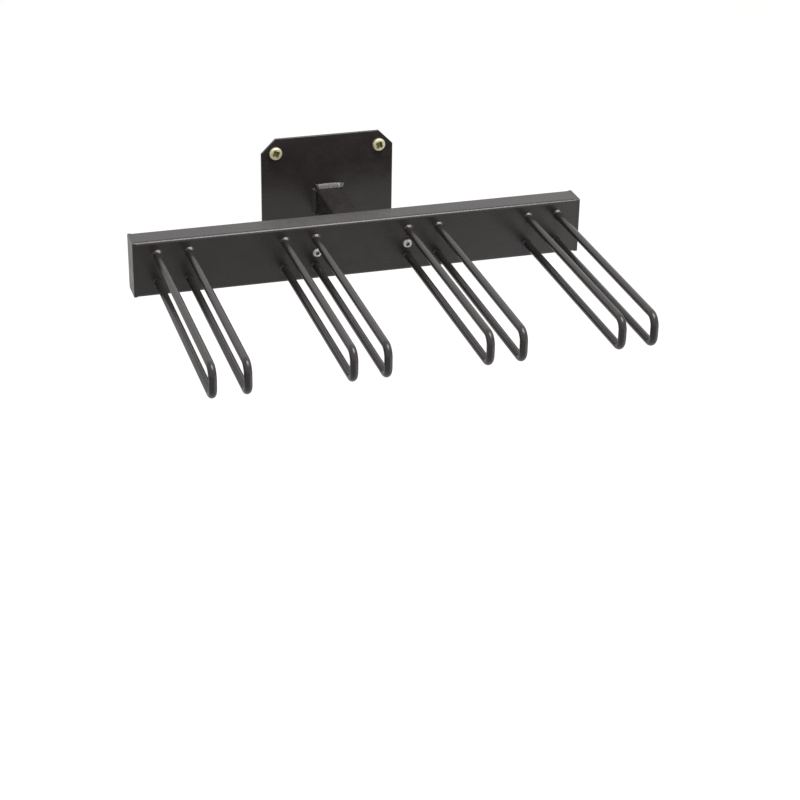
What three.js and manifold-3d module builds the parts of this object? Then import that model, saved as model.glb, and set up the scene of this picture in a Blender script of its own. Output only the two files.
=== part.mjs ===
// Wall rack that holds four skateboards by their decks.
// A screwed wall plate carries a square arm, the arm carries a flat crossbar, and eight bent rod
// loops stand out from the crossbar in four pairs. A deck hangs between the two loops of a pair.
// Millimetres, +Z up. The origin is the centre of the wall plate's back face, +Y goes into the wall
// and -Y out into the room, so every depth below counts from the wall towards -Y.

import * as THREE from 'three';
import * as BufferGeometryUtils from 'three/addons/utils/BufferGeometryUtils.js';
import Module from 'manifold-3d';

const wasm = await Module();
wasm.setup();

// Driving dimensions

const PLATE = { width: 130, height: 130, thickness: 3, cornerCut: 14, holeInset: 14, holeGap: 0.5 };
const ARM = { side: 25, wall: 2, cornerRadius: 3, reach: 100 };
const FLANGE = { height: 40, thickness: 4, edge: 12, cornerRadius: 4 };
const BAR = {
  length: 424,
  height: 53,
  depth: 25,
  wall: 2,
  cornerRadius: 3,
  endPlate: 3,
  endCornerRadius: 1.5,
};
const LOOP = {
  rodDiameter: 7,
  reach: 235,
  legSpacing: 26,
  bendRadius: 9,
  pairGap: 29,
  endMargin: 22,
  rootInside: 4,
};
const ARM_WELD = { foot: 4.3, climb: 4, throatOut: 2.4, throatUp: 2.2, lip: 0.5 };
const ROD_WELD = { leg: 2.2, throat: 1.4, lip: 0.4 };
const WALL_SCREW = {
  shankDiameter: 6,
  length: 20,
  pointLength: 6,
  tipDiameter: 1,
  headDiameter: 12.5,
  headHeight: 3.2,
  rimHeight: 1,
  crownDiameter: 8.6,
  recessSpan: 7.6,
  recessWidth: 2.2,
  recessDepth: 2,
};
const BAR_SCREW = {
  spacing: 86,
  shankDiameter: 5,
  headDiameter: 8.5,
  headHeight: 2.8,
  rimHeight: 0.8,
  crownDiameter: 5.2,
  socketWidth: 3,
  socketDepth: 1.5,
  tail: 1.5,
  holeGap: 0.3,
};
const WASHER = { diameter: 10, thickness: 1 };
const NUT = { acrossFlats: 8, height: 4.7 };

// Gap between pieces that fit into or round each other, and the overrun of every cutter

const CLEARANCE = 0.3;
const OVERRUN = 1;

// Shares: the least bore corner of a tube, how much of the arm's weld goes missing at a corner, and
// where a screw head's dome turns over

const boreCornerShare = 0.25;
const weldGapShare = 0.7;
const shoulderShare = 0.62;

const PAIRS = 4;
const LOOPS_PER_PAIR = 2;
const CORNER_STEPS = 4;
const BEND_STEPS = 8;
const ROD_SIDES = 16;
const HOLE_SIDES = 16;
const SCREW_SIDES = 24;
const HEX_SIDES = 6;

// Depths from the wall, and heights and places that several pieces share

const plateFront = PLATE.thickness;
const flangeBack = plateFront + ARM.reach - FLANGE.thickness;
const barBack = plateFront + ARM.reach;
const barFront = barBack + BAR.depth;
const rodRadius = LOOP.rodDiameter / 2;
const legHeights = { upper: LOOP.legSpacing / 2, lower: -LOOP.legSpacing / 2 };
const pairPitch = (BAR.length - 2 * LOOP.endMargin - LOOP.pairGap) / (PAIRS - 1);
const screwSides = { left: -1, right: 1 };
const barScrewHole = BAR_SCREW.shankDiameter / 2 + BAR_SCREW.holeGap;

// Finishes

const blackPaint = new THREE.MeshStandardMaterial({
  color: 0x2e2b2a,
  roughness: 0.42,
  metalness: 0.1,
});
const yellowZinc = new THREE.MeshStandardMaterial({
  color: 0xd9cf9a,
  roughness: 0.3,
  metalness: 1,
});
const brightZinc = new THREE.MeshStandardMaterial({
  color: 0xc9cbcc,
  roughness: 0.28,
  metalness: 1,
});

// Outlines, drawn in a plane and turned into place by the functions after them

function roundedRectangle(Path, width, height, radius) {
  const right = width / 2;
  const top = height / 2;
  const path = new Path();
  path.moveTo(right, -top + radius);
  path.absarc(right - radius, top - radius, radius, 0, Math.PI / 2, false);
  path.absarc(-right + radius, top - radius, radius, Math.PI / 2, Math.PI, false);
  path.absarc(-right + radius, -top + radius, radius, Math.PI, 1.5 * Math.PI, false);
  path.absarc(right - radius, -top + radius, radius, 1.5 * Math.PI, 2 * Math.PI, false);
  return path;
}

function boreCorner(tube) {
  return Math.max(tube.cornerRadius - tube.wall, tube.cornerRadius * boreCornerShare);
}

function circlePath(radius, x = 0, y = 0) {
  return new THREE.Path().absarc(x, y, radius, 0, 2 * Math.PI, false);
}

function polygon(sides, acrossFlats) {
  const radius = acrossFlats / 2 / Math.cos(Math.PI / sides);
  const corners = [];
  for (let i = 0; i < sides; i++) {
    const angle = (2 * Math.PI * i) / sides;
    corners.push(new THREE.Vector2(radius * Math.cos(angle), radius * Math.sin(angle)));
  }
  return new THREE.Shape(corners);
}

function cross(span, width) {
  const a = span / 2;
  const b = width / 2;
  const corners = [
    [a, -b], [a, b], [b, b], [b, a], [-b, a], [-b, b],
    [-a, b], [-a, -b], [-b, -b], [-b, -a], [b, -a], [b, -b],
  ];
  return new THREE.Shape(corners.map(([x, y]) => new THREE.Vector2(x, y)));
}

// Axis changes: drawn (x, y) and height become the rack's (X, Z) and depth, or (Y, Z) and X

function remap(geometry, place) {
  const position = geometry.getAttribute('position');
  for (let i = 0; i < position.count; i++) {
    position.setXYZ(i, ...place(position.getX(i), position.getY(i), position.getZ(i)));
  }
  geometry.deleteAttribute('normal');
  geometry.computeVertexNormals();
  return geometry;
}

function slab(shape, nearWall, farFromWall, curveSegments = CORNER_STEPS) {
  const depth = farFromWall - nearWall;
  const geometry = new THREE.ExtrudeGeometry(shape, { depth, curveSegments, bevelEnabled: false });
  return remap(geometry, (x, y, z) => [x, -nearWall - z, y]);
}

function barStock(shape, fromX, toX) {
  const options = { depth: toX - fromX, curveSegments: CORNER_STEPS, bevelEnabled: false };
  const geometry = new THREE.ExtrudeGeometry(shape, options);
  return remap(geometry, (x, y, z) => [fromX + z, x, y]);
}

// Turned pieces: a profile of [radius, distance out from the seat] pairs, spun about the screw axis

function turned(profile, seat, sides) {
  const points = profile.map(([radius, out]) => new THREE.Vector2(radius, out));
  const geometry = new THREE.LatheGeometry(points, sides);
  return remap(geometry, (x, y, z) => [x, -seat - y, -z]);
}

function moved(geometry, x, z) {
  return geometry.translate(x, 0, z);
}

// Boolean cuts

function toSolid(geometry) {
  const bare = geometry.clone();
  bare.deleteAttribute('normal');
  bare.deleteAttribute('uv');
  const merged = BufferGeometryUtils.mergeVertices(bare);
  const vertProperties = new Float32Array(merged.getAttribute('position').array);
  const triVerts = new Uint32Array(merged.getIndex().array);
  return new wasm.Manifold(new wasm.Mesh({ numProp: 3, vertProperties, triVerts }));
}

function cut(geometry, cutters) {
  let solid = toSolid(geometry);
  for (const cutter of cutters) {
    solid = solid.subtract(toSolid(cutter));
  }
  const { vertProperties, triVerts } = solid.getMesh();
  const result = new THREE.BufferGeometry();
  result.setAttribute('position', new THREE.BufferAttribute(new Float32Array(vertProperties), 3));
  result.setIndex(new THREE.BufferAttribute(new Uint32Array(triVerts), 1));
  result.computeVertexNormals();
  return result;
}

function drill(radius, x, z, nearWall, farFromWall) {
  const shape = new THREE.Shape().absarc(0, 0, radius, 0, 2 * Math.PI, false);
  return moved(slab(shape, nearWall, farFromWall, HOLE_SIDES / 2), x, z);
}

// Wall plate with clipped corners and a screw hole near each corner

const wallHoles = [];
for (const side of [-1, 1]) {
  for (const level of [1, -1]) {
    wallHoles.push({
      x: side * (PLATE.width / 2 - PLATE.holeInset),
      z: level * (PLATE.height / 2 - PLATE.holeInset),
    });
  }
}

function wallPlate() {
  const right = PLATE.width / 2;
  const top = PLATE.height / 2;
  const clip = PLATE.cornerCut;
  const corners = [
    [right, -top + clip], [right, top - clip], [right - clip, top], [-right + clip, top],
    [-right, top - clip], [-right, -top + clip], [-right + clip, -top], [right - clip, -top],
  ];
  const shape = new THREE.Shape(corners.map(([x, z]) => new THREE.Vector2(x, z)));
  const holeRadius = WALL_SCREW.shankDiameter / 2 + PLATE.holeGap;
  for (const hole of wallHoles) {
    shape.holes.push(circlePath(holeRadius, hole.x, hole.z));
  }
  return slab(shape, 0, plateFront, HOLE_SIDES / 2);
}

// Arm: open square tube from the plate to the flange

function armTube() {
  const shape = roundedRectangle(THREE.Shape, ARM.side, ARM.side, ARM.cornerRadius);
  const bore = ARM.side - 2 * ARM.wall;
  const boreRadius = boreCorner(ARM);
  shape.holes.push(roundedRectangle(THREE.Path, bore, bore, boreRadius));
  return slab(shape, plateFront, flangeBack);
}

// Fillet weld round the arm. It sits on a plate and grows along the arm, away from the wall where
// out is 1 and towards it where out is -1. Each ring is one line of the weld's section, so far out
// from the arm and so far up it. Four straight runs make the weld, and it is thin where they meet.

function weldRing(offset, seat, up) {
  const flat = ARM.side / 2 - ARM.cornerRadius;
  const points = [];
  for (const [right, top] of [[1, 1], [-1, 1], [-1, -1], [1, -1]]) {
    const start = Math.atan2(top, right) - Math.PI / 4;
    for (let i = 0; i <= CORNER_STEPS; i++) {
      const turn = (Math.PI / 2) * (i / CORNER_STEPS);
      const fullness = 1 - weldGapShare * Math.sin(2 * turn) ** 2;
      const radius = ARM.cornerRadius + CLEARANCE + (offset - CLEARANCE) * fullness;
      const x = right * flat + radius * Math.cos(start + turn);
      const z = top * flat + radius * Math.sin(start + turn);
      points.push([x, -(seat + up * fullness), z]);
    }
  }
  return points;
}

function armWeld(seat, out) {
  const { foot, climb, throatOut, throatUp, lip } = ARM_WELD;
  const rings = [
    weldRing(CLEARANCE, seat, 0),
    weldRing(foot, seat, 0),
    weldRing(throatOut, seat, out * throatUp),
    weldRing(CLEARANCE + lip, seat, out * climb),
    weldRing(CLEARANCE, seat, out * climb),
  ];
  return closedLoft(out > 0 ? rings : rings.reverse());
}

function closedLoft(rings) {
  const count = rings[0].length;
  const index = [];
  for (let r = 0; r < rings.length; r++) {
    const next = (r + 1) % rings.length;
    for (let i = 0; i < count; i++) {
      const j = (i + 1) % count;
      const [a, b, c, d] = [r * count + i, r * count + j, next * count + j, next * count + i];
      index.push(a, b, c, a, c, d);
    }
  }
  const geometry = new THREE.BufferGeometry();
  geometry.setAttribute('position', new THREE.Float32BufferAttribute(rings.flat(2), 3));
  geometry.setIndex(index);
  geometry.computeVertexNormals();
  return geometry;
}

// Flange that the crossbar is screwed to

function armFlange() {
  const width = BAR_SCREW.spacing + 2 * FLANGE.edge;
  const shape = roundedRectangle(THREE.Shape, width, FLANGE.height, FLANGE.cornerRadius);
  for (const side of Object.values(screwSides)) {
    shape.holes.push(circlePath(barScrewHole, side * BAR_SCREW.spacing / 2));
  }
  return slab(shape, flangeBack, barBack, HOLE_SIDES / 2);
}

// Crossbar: rectangular tube with a hole in its front wall for each rod leg

function loopPlaces() {
  const places = [];
  for (let pair = 0; pair < PAIRS; pair++) {
    const middle = (pair - (PAIRS - 1) / 2) * pairPitch;
    for (let i = 0; i < LOOPS_PER_PAIR; i++) {
      places.push(middle + (i - (LOOPS_PER_PAIR - 1) / 2) * LOOP.pairGap);
    }
  }
  return places;
}

function crossbarTube() {
  const shape = roundedRectangle(THREE.Shape, BAR.depth, BAR.height, BAR.cornerRadius);
  const boreRadius = boreCorner(BAR);
  const boreDepth = BAR.depth - 2 * BAR.wall;
  const boreHeight = BAR.height - 2 * BAR.wall;
  shape.holes.push(roundedRectangle(THREE.Path, boreDepth, boreHeight, boreRadius));
  const end = BAR.length / 2 - BAR.endPlate;
  const tube = barStock(shape, -end, end).translate(0, -(barBack + barFront) / 2, 0);
  const cutters = [];
  const insideFront = barFront - BAR.wall;
  for (const x of loopPlaces()) {
    for (const z of Object.values(legHeights)) {
      cutters.push(drill(rodRadius + CLEARANCE, x, z, insideFront - OVERRUN, barFront + OVERRUN));
    }
  }
  for (const side of Object.values(screwSides)) {
    const x = side * BAR_SCREW.spacing / 2;
    cutters.push(drill(barScrewHole, x, 0, barBack - OVERRUN, barFront + OVERRUN));
  }
  return cut(tube, cutters);
}

function crossbarEnd(side) {
  const inner = BAR.length / 2 - BAR.endPlate;
  const outer = BAR.length / 2;
  const [from, to] = side > 0 ? [inner, outer] : [-outer, -inner];
  const shape = roundedRectangle(THREE.Shape, BAR.depth, BAR.height, BAR.endCornerRadius);
  return barStock(shape, from, to).translate(0, -(barBack + barFront) / 2, 0);
}

// Rod loop: one length of round rod, out from the crossbar, down and back through two bends.
// The path holds one station wherever the rod needs a ring, so straight legs stay light.

class StationPath extends THREE.Curve {
  constructor(stations) {
    super();
    this.stations = stations;
  }

  station(u) {
    return this.stations[Math.round(u * (this.stations.length - 1))];
  }

  getPointAt(u, target = new THREE.Vector3()) {
    return target.copy(this.station(u).point);
  }

  getTangentAt(u, target = new THREE.Vector3()) {
    return target.copy(this.station(u).tangent);
  }
}

function loopStations() {
  const radius = Math.min(LOOP.bendRadius, LOOP.legSpacing / 2);
  const root = barFront - BAR.wall - LOOP.rootInside;
  const tip = barFront + LOOP.reach;
  const { upper, lower } = legHeights;
  const stations = [];
  const add = (depth, z, angle) => {
    stations.push({
      point: new THREE.Vector3(0, -depth, z),
      tangent: new THREE.Vector3(0, -Math.cos(angle), -Math.sin(angle)),
    });
  };
  const bend = (centreZ, startAngle) => {
    for (let i = 0; i <= BEND_STEPS; i++) {
      const angle = startAngle + (Math.PI / 2) * (i / BEND_STEPS);
      const depth = tip - radius + radius * Math.sin(angle);
      add(depth, centreZ + radius * Math.cos(angle), angle);
    }
  };
  add(root, upper, 0);
  bend(upper - radius, 0);
  bend(lower + radius, Math.PI / 2);
  add(root, lower, Math.PI);
  return stations;
}

function rodLoop(x) {
  const stations = loopStations();
  const section = new THREE.Shape().absarc(0, 0, rodRadius, 0, 2 * Math.PI, false);
  const geometry = new THREE.ExtrudeGeometry(section, {
    steps: stations.length - 1,
    curveSegments: ROD_SIDES / 2,
    extrudePath: new StationPath(stations),
  });
  return moved(geometry, x, 0);
}

// Weld bead round a rod's root, seated on the crossbar's front face

function rodWeld(x, z) {
  const { leg, throat, lip } = ROD_WELD;
  const inner = rodRadius + CLEARANCE;
  const profile = [
    [inner, 0], [rodRadius + leg, 0], [rodRadius + throat, throat], [inner + lip, leg],
    [inner, leg], [inner, 0],
  ];
  return moved(turned(profile, barFront, ROD_SIDES), x, z);
}

// Screws: a domed head seated on a face, a shank behind it, and a recess cut into the crown

function screwProfile(size, shankLength, tip) {
  const shank = size.shankDiameter / 2;
  const head = size.headDiameter / 2;
  const crown = size.crownDiameter / 2;
  const shoulderHeight = (size.rimHeight + size.headHeight) / 2;
  const shoulder = crown + (head - crown) * shoulderShare;
  return [
    [0, -shankLength], ...tip(shank, shankLength), [shank, 0], [head, 0], [head, size.rimHeight],
    [shoulder, shoulderHeight], [crown, size.headHeight], [0, size.headHeight],
  ];
}

function wallScrew(x, z) {
  const pointed = (shank, length) => [
    [WALL_SCREW.tipDiameter / 2, -length],
    [shank, -length + WALL_SCREW.pointLength],
  ];
  const profile = screwProfile(WALL_SCREW, WALL_SCREW.length, pointed);
  const body = turned(profile, plateFront, SCREW_SIDES);
  const top = plateFront + WALL_SCREW.headHeight;
  const recess = cross(WALL_SCREW.recessSpan, WALL_SCREW.recessWidth);
  return moved(cut(body, [slab(recess, top - WALL_SCREW.recessDepth, top + OVERRUN)]), x, z);
}

const nutSeat = flangeBack - WASHER.thickness;
const nutBack = nutSeat - NUT.height;

function barScrew(x) {
  const length = barFront - nutBack + BAR_SCREW.tail;
  const blunt = (shank) => [[shank, -length]];
  const body = turned(screwProfile(BAR_SCREW, length, blunt), barFront, SCREW_SIDES);
  const top = barFront + BAR_SCREW.headHeight;
  const socket = polygon(HEX_SIDES, BAR_SCREW.socketWidth);
  return moved(cut(body, [slab(socket, top - BAR_SCREW.socketDepth, top + OVERRUN)]), x, 0);
}

function barWasher(x) {
  const shape = new THREE.Shape().absarc(0, 0, WASHER.diameter / 2, 0, 2 * Math.PI, false);
  shape.holes.push(circlePath(barScrewHole));
  return moved(slab(shape, nutSeat, flangeBack, SCREW_SIDES / 2), x, 0);
}

function barNut(x) {
  const shape = polygon(HEX_SIDES, NUT.acrossFlats);
  shape.holes.push(circlePath(barScrewHole));
  return moved(slab(shape, nutBack, nutSeat, SCREW_SIDES / 2), x, 0);
}

// Assembly

function piece(name, geometry, material) {
  const mesh = new THREE.Mesh(geometry, material);
  mesh.name = name;
  return mesh;
}

const wallBracket = new THREE.Group();
wallBracket.add(piece('wall_plate', wallPlate(), blackPaint));
wallBracket.add(piece('arm_tube', armTube(), blackPaint));
wallBracket.add(piece('arm_flange', armFlange(), blackPaint));
wallBracket.add(piece('arm_rear_weld', armWeld(plateFront, 1), blackPaint));
wallBracket.add(piece('arm_front_weld', armWeld(flangeBack, -1), blackPaint));

const wallScrews = new THREE.Group();
wallHoles.forEach((hole, i) => {
  wallScrews.add(piece(`wall_screw_${i + 1}`, wallScrew(hole.x, hole.z), yellowZinc));
});

const crossbar = new THREE.Group();
crossbar.add(piece('crossbar_tube', crossbarTube(), blackPaint));
for (const [name, side] of Object.entries(screwSides)) {
  crossbar.add(piece(`crossbar_end_${name}`, crossbarEnd(side), blackPaint));
}
loopPlaces().forEach((x, i) => {
  crossbar.add(piece(`rod_loop_${i + 1}`, rodLoop(x), blackPaint));
  for (const [level, z] of Object.entries(legHeights)) {
    crossbar.add(piece(`rod_weld_${i + 1}_${level}`, rodWeld(x, z), blackPaint));
  }
});

const barScrews = new THREE.Group();
for (const [name, side] of Object.entries(screwSides)) {
  const x = side * BAR_SCREW.spacing / 2;
  barScrews.add(piece(`bar_screw_${name}`, barScrew(x), brightZinc));
  barScrews.add(piece(`bar_washer_${name}`, barWasher(x), brightZinc));
  barScrews.add(piece(`bar_nut_${name}`, barNut(x), brightZinc));
}

const rack = new THREE.Group();
rack.add(wallBracket, wallScrews, crossbar, barScrews);

export default rack;
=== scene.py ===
"""Dresses a wall rack for skateboards: plate, arm, crossbar, rod loops, welds and screws.

The rack is welded steel under a satin black powder coat. Every piece takes its size and place
from the CAD box of the node that it stands for, in metres, with +Z up and +Y into the wall.
"""

import logging
import math
from abc import ABC, abstractmethod
from collections.abc import Iterable, Sequence
from dataclasses import dataclass, field
from enum import Enum

import bmesh
import bpy
from bmesh.types import BMesh, BMFace, BMVert
from bpy.types import Material, Node, NodeSocket, NodeTree, Object
from mathutils import Matrix, Vector, noise


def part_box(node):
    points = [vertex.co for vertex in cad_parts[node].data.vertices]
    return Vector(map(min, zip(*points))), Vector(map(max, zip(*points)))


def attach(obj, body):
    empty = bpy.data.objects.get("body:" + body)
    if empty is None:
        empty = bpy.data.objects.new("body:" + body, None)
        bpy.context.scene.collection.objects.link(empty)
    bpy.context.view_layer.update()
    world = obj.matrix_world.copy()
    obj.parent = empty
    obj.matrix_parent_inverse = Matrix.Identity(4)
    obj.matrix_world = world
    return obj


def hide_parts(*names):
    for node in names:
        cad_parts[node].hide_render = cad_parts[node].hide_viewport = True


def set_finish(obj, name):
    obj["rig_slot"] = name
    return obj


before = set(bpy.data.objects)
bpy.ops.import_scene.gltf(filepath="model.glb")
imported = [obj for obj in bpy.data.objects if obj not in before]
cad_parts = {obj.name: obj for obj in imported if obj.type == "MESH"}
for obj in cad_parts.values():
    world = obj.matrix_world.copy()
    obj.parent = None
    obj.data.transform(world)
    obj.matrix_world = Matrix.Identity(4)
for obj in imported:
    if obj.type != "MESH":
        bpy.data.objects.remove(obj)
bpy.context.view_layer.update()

LOG = logging.getLogger("rack")

MM = 0.001
FULL_TURN = 2 * math.pi
QUARTER_TURN = math.pi / 2
# Points nearer than this become one.
MERGE = 0.001 * MM
# How far a cutter passes what it cuts.
OVERRUN = 1 * MM
HEX_SIDES = 6
# Radius at a hexagon's corners, as a share of its width across flats.
HEX_CORNER = 1 / math.sqrt(3)
# Range that most of a noise texture's values lie in.
NOISE_MIDDLE = (0.3, 0.7)

LOOPS = range(1, 9)
LEVELS = ("upper", "lower")
SIDES = ("left", "right")
# Angles at which the screws were left, in radians.
WALL_SCREW_TURNS = (0.4, 1.2, 1.0, 0.2)
BAR_SCREW_TURNS = (0.2, 0.7)

Colour = tuple[float, float, float]
Span = tuple[float, float]
Inputs = dict[str | int, object]


class Slot(Enum):
    """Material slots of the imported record."""

    BLACK = "black_powder_coat"
    YELLOW = "yellow_zinc"
    BRIGHT = "bright_zinc"


class Lie(Enum):
    """How a piece's own XYZ lies in the rack: its length runs out of the wall, or along the bar."""

    OUT = Matrix(((1, 0, 0, 0), (0, 0, -1, 0), (0, 1, 0, 0), (0, 0, 0, 1)))
    ALONG = Matrix(((0, 0, 1, 0), (1, 0, 0, 0), (0, 1, 0, 0), (0, 0, 0, 1)))


@dataclass(frozen=True)
class Extent:
    """Box of one CAD node, read in the axes of the piece that lies in it.

    Attributes:
        low: Lowest corner.
        high: Highest corner.
    """

    low: Vector
    high: Vector

    @classmethod
    def of(cls, node: str, lie: Lie = Lie.OUT) -> "Extent":
        """Reads a node's box.

        Args:
            node: Name of the CAD node.
            lie: How the piece lies in the rack.

        Returns:
            The box in the piece's own axes.
        """
        corners = [lie.value.inverted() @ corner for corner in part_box(node)]
        low = Vector(min(pair) for pair in zip(*corners))
        high = Vector(max(pair) for pair in zip(*corners))
        return cls(low, high)

    @property
    def size(self) -> Vector:
        """Length of each side."""
        return self.high - self.low

    @property
    def centre(self) -> Vector:
        """Middle of the box."""
        return (self.low + self.high) / 2

    @property
    def foot(self) -> Vector:
        """Middle of the lower side."""
        return Vector((self.centre.x, self.centre.y, self.low.z))

    @property
    def axis(self) -> Vector:
        """Point on the middle line where Z is zero."""
        return Vector((self.centre.x, self.centre.y, 0))


# Shapes

def section(bm: BMesh, width: float, height: float, radius: float, steps: int) -> BMFace:
    """Draws a flat rectangle with round corners about the origin, in XY.

    Args:
        bm: Mesh that gets the face.
        width: Size along X.
        height: Size along Y.
        radius: Radius of the corners.
        steps: Steps in each corner.

    Returns:
        The face.
    """
    corners = bmesh.ops.create_grid(bm, x_segments=1, y_segments=1, size=0.5)["verts"]
    bmesh.ops.scale(bm, vec=(width, height, 1), verts=corners)
    bmesh.ops.bevel(bm, geom=corners, offset=radius, offset_type="OFFSET", segments=steps,
                    profile=0.5, affect="VERTICES", material=-1)
    bm.faces.ensure_lookup_table()
    return bm.faces[-1]


def disc(bm: BMesh, radius: float, sides: int, place: Matrix) -> BMFace:
    """Draws a flat disc, or a polygon where it has few sides, and gives its face."""
    rim = bmesh.ops.create_circle(bm, cap_ends=True, radius=radius, segments=sides, matrix=place)
    return rim["verts"][0].link_faces[0]


def push(bm: BMesh, faces: Iterable[BMFace], step: Vector) -> list[BMFace]:
    """Extrudes flat faces straight on.

    Args:
        bm: Mesh that holds the faces.
        faces: Faces that lie in one plane.
        step: How far and which way.

    Returns:
        The faces at the new end.
    """
    grown = bmesh.ops.extrude_face_region(bm, geom=list(faces))["geom"]
    moved = [item for item in grown if isinstance(item, BMVert)]
    bmesh.ops.translate(bm, vec=step, verts=moved)
    return [item for item in grown if isinstance(item, BMFace)]


def prisms(places: Iterable[Matrix], radius: float, sides: int, height: float) -> BMesh:
    """Makes closed prisms or cylinders that run up along Z.

    Args:
        places: Place and turn of each lower end.
        radius: Radius at their corners.
        sides: Number of sides.
        height: Their height.

    Returns:
        A mesh of them all.
    """
    bm = bmesh.new()
    for place in places:
        push(bm, [disc(bm, radius, sides, place)], Vector((0, 0, height)))
    return bm


def slab(extent: Extent, radius: float, steps: int) -> BMesh:
    """Makes a plate with round corners that stands on the origin.

    Args:
        extent: Box that gives its size.
        radius: Radius of the corners.
        steps: Steps in each corner. With one step the corner is clipped.

    Returns:
        A closed mesh.
    """
    bm = bmesh.new()
    face = section(bm, extent.size.x, extent.size.y, radius, steps)
    push(bm, [face], Vector((0, 0, extent.size.z)))
    return bm


def hollow_stock(extent: Extent, radius: float, wall: float, steps: int = 10) -> BMesh:
    """Makes a rectangular tube with round corners about the middle of a box.

    Args:
        extent: Box that the tube fills, with its length along Z.
        radius: Outer radius of the corners.
        wall: Thickness of the wall.
        steps: Steps in each corner.

    Returns:
        A closed mesh with an open bore.
    """
    bm = bmesh.new()
    face = section(bm, extent.size.x, extent.size.y, radius, steps)
    rim = bmesh.ops.inset_region(bm, faces=[face], thickness=wall, use_boundary=True,
                                 use_even_offset=True)["faces"]
    bmesh.ops.delete(bm, geom=[face], context="FACES_ONLY")
    bmesh.ops.translate(bm, vec=(0, 0, -extent.size.z / 2), verts=bm.verts)
    push(bm, rim, Vector((0, 0, extent.size.z)))
    return bm


def hole_tool(places: Iterable[Vector], radius: float, low: float, high: float,
              sides: int = 40) -> BMesh:
    """Makes the cutters for round holes along Z, from a low height up to a high one."""
    feet = [Matrix.Translation((place.x, place.y, low)) for place in places]
    return prisms(feet, radius, sides, high - low)


def spun(profile: Sequence[Span], steps: int) -> BMesh:
    """Turns a profile about the Z axis.

    Args:
        profile: Radius and height of each point, from axis to axis or closed on itself.
        steps: Number of steps in the full turn.

    Returns:
        A closed mesh.
    """
    bm = bmesh.new()
    points = [bm.verts.new((radius, 0, height)) for radius, height in profile]
    edges = [bm.edges.new(pair) for pair in zip(points, points[1:])]
    bmesh.ops.spin(bm, geom=points + edges, cent=(0, 0, 0), axis=(0, 0, 1), angle=FULL_TURN,
                   steps=steps, use_merge=True)
    bmesh.ops.remove_doubles(bm, verts=bm.verts, dist=MERGE)
    return bm


def tapered_block(size: Vector, top: float, taper: float, turn: float) -> BMesh:
    """Makes a block that hangs from a height and narrows downwards.

    Args:
        size: Its size at the top, and its depth.
        top: Height of its upper side.
        taper: Size at the bottom, as a share of the size at the top.
        turn: Angle about the Z axis.

    Returns:
        A closed mesh.
    """
    bm = bmesh.new()
    corners = bmesh.ops.create_cube(bm, size=1.0)["verts"]
    bmesh.ops.scale(bm, vec=(taper, taper, 1), verts=[v for v in corners if v.co.z < 0])
    bmesh.ops.scale(bm, vec=size, verts=corners)
    bmesh.ops.translate(bm, vec=(0, 0, top - size.z / 2), verts=corners)
    bmesh.ops.rotate(bm, cent=(0, 0, 0), matrix=Matrix.Rotation(turn, 3, "Z"), verts=corners)
    return bm


def pan_top(rim: float, crown: float, low: float, high: float, steps: int = 10,
            camber_share: float = 0.05) -> list[Span]:
    """Draws the top of a pan head: round at its shoulder and nearly flat on its crown.

    Args:
        rim: Radius where the upright edge ends.
        crown: Radius of the crown.
        low: Height where the upright edge ends.
        high: Height of the crown's middle.
        steps: Steps over the shoulder, and over the crown.
        camber_share: Rise of the crown, as a share of its radius.

    Returns:
        Points from the upright edge to the axis.
    """
    camber = camber_share * crown
    rise = high - camber - low
    turns = [QUARTER_TURN * step / steps for step in range(steps + 1)]
    shoulder = [(crown + (rim - crown) * math.cos(turn), low + rise * math.sin(turn))
                for turn in turns]
    shares = [1 - step / steps for step in range(1, steps + 1)]
    return [*shoulder, *((crown * share, high - camber * share * share) for share in shares)]


def soften(bm: BMesh, radius: float, steps: int = 3,
           least_angle: float = math.radians(50)) -> None:
    """Rounds every edge where two faces meet at more than an angle.

    Args:
        bm: Mesh to round.
        radius: Radius of the rounding.
        steps: Steps in it.
        least_angle: Angle between the faces from which an edge counts as sharp.
    """
    sharp = [edge for edge in bm.edges
             if edge.is_manifold and edge.calc_face_angle() > least_angle]
    bmesh.ops.bevel(bm, geom=sharp, offset=radius, offset_type="OFFSET", segments=steps,
                    profile=0.5, affect="EDGES", clamp_overlap=True, material=-1)


def carve(body: BMesh, tool: BMesh, operation: str = "DIFFERENCE") -> BMesh:
    """Cuts one closed mesh with another.

    Args:
        body: Mesh that is cut. It is freed.
        tool: Mesh that cuts. It is freed.
        operation: Name of the boolean operation.

    Returns:
        The mesh that is left.
    """
    stock, cutter = (loose_object(bm, name) for bm, name in ((body, "stock"), (tool, "cutter")))
    cut = stock.modifiers.new("cut", "BOOLEAN")
    cut.object = cutter
    cut.operation = operation
    cut.solver = "EXACT"
    graph = bpy.context.evaluated_depsgraph_get()
    result = bmesh.new()
    result.from_object(stock, graph)
    for item in (stock, cutter):
        mesh = item.data
        bpy.data.objects.remove(item)
        bpy.data.meshes.remove(mesh)
    bmesh.ops.remove_doubles(result, verts=result.verts, dist=MERGE)
    bmesh.ops.dissolve_degenerate(result, edges=result.edges, dist=MERGE)
    return result


def loose_object(bm: BMesh, name: str) -> Object:
    """Makes an object of a mesh, with its faces pointing out, and frees the mesh.

    Args:
        bm: The mesh.
        name: Name of the object.

    Returns:
        The object, in the scene.
    """
    bmesh.ops.recalc_face_normals(bm, faces=bm.faces)
    mesh = bpy.data.meshes.new(name)
    bm.to_mesh(mesh)
    bm.free()
    item = bpy.data.objects.new(name, mesh)
    bpy.context.scene.collection.objects.link(item)
    return item


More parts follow.
